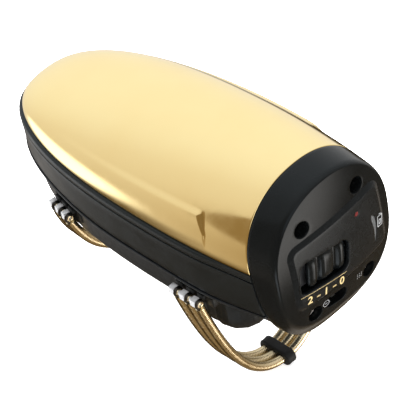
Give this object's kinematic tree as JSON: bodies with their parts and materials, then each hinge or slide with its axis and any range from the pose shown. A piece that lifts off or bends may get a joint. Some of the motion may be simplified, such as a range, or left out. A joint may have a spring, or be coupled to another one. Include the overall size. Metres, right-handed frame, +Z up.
{
  "type": "hand massager",
  "caption": "Strap-on vibrating hand massager: gold boat-shaped shell over a black housing, slide switch on the end face, and coil-spring loops that hold it on the hand.",
  "frame": {"origin": "middle of the flat face of the rubber pad that rests on the back of the hand", "axes": "+X along the body from the nose to the control end, +Z up through the gold shell, +Y to the far side of the body"},
  "size_m": [0.1649, 0.0786, 0.1228],
  "materials": {
    "gold_shell": "gold-plated plastic, polished",
    "black_housing": "satin black moulded plastic",
    "black_base": "fine-textured black moulded plastic",
    "black_cap": "glossy black moulded plastic",
    "black_panel": "glossy black moulded plastic",
    "black_knob": "semi-gloss black moulded plastic",
    "inner_plastic": "plain black moulded plastic",
    "clear_lens": "pale translucent light pipe",
    "red_lens": "small red indicator lens",
    "jack_steel": "nickel-plated charging socket",
    "pad_rubber": "ribbed black rubber",
    "screw_steel": "zinc-plated screw",
    "hook_chrome": "polished plated rod",
    "coil_gold": "gold-plated close-wound wire",
    "spacer_rubber": "black rubber",
    "motor_steel": "plated motor can",
    "weight_steel": "sintered steel weight",
    "battery_wrap": "blue battery sleeve",
    "board_green": "green circuit board"
  },
  "bodies": {
    "body": {"top_shell": "gold_shell", "side_housing": "black_housing", "base_shell": "black_base", "end_cap": "black_cap", "control_panel": "black_panel", "switch_body": "inner_plastic", "light_pipe": "clear_lens", "indicator_led": "red_lens", "charge_jack": "jack_steel", "hand_pad": "pad_rubber", "cap_screw_upper_near": "screw_steel", "cap_screw_upper_far": "screw_steel", "cap_screw_lower_near": "screw_steel", "cap_screw_lower_far": "screw_steel", "base_screw_front_near": "screw_steel", "base_screw_front_far": "screw_steel", "base_screw_rear_near": "screw_steel", "base_screw_rear_far": "screw_steel", "hook_bracket_rear_near": "black_base", "hook_bracket_rear_far": "black_base", "hook_bracket_front_near": "black_base", "hook_bracket_front_far": "black_base", "hook_rod_rear_near": "hook_chrome", "hook_rod_rear_far": "hook_chrome", "hook_rod_front_near": "hook_chrome", "hook_rod_front_far": "hook_chrome", "coil_spring_rear_1": "coil_gold", "coil_spring_rear_2": "coil_gold", "coil_spring_rear_3": "coil_gold", "coil_spring_front_1": "coil_gold", "coil_spring_front_2": "coil_gold", "coil_spring_front_3": "coil_gold", "motor_can": "motor_steel", "motor_mount": "inner_plastic", "battery_cell": "battery_wrap", "battery_cradle": "inner_plastic", "circuit_board": "board_green"},
    "switch": {"switch_knob": "black_knob"},
    "rotor": {"motor_shaft": "motor_steel", "eccentric_weight": "weight_steel"},
    "spacer": {"spring_spacer": "spacer_rubber"}
  },
  "joints": [
    {"name": "switch_slide", "type": "slide", "parent": "body", "child": "switch", "axis": [0, -0.9903, 0.1392], "range_m": [0, 0.0048]},
    {"name": "motor_spin", "type": "hinge", "parent": "body", "child": "rotor", "pos_m": [-0.08, 0, 0.037], "axis": [1, 0, 0], "continuous": true},
    {"name": "spacer_tilt", "type": "hinge", "parent": "body", "child": "spacer", "pos_m": [0.0068, 0, -0.01265], "axis": [1, 0, 0], "range_deg": [-5, 5]}
  ]
}
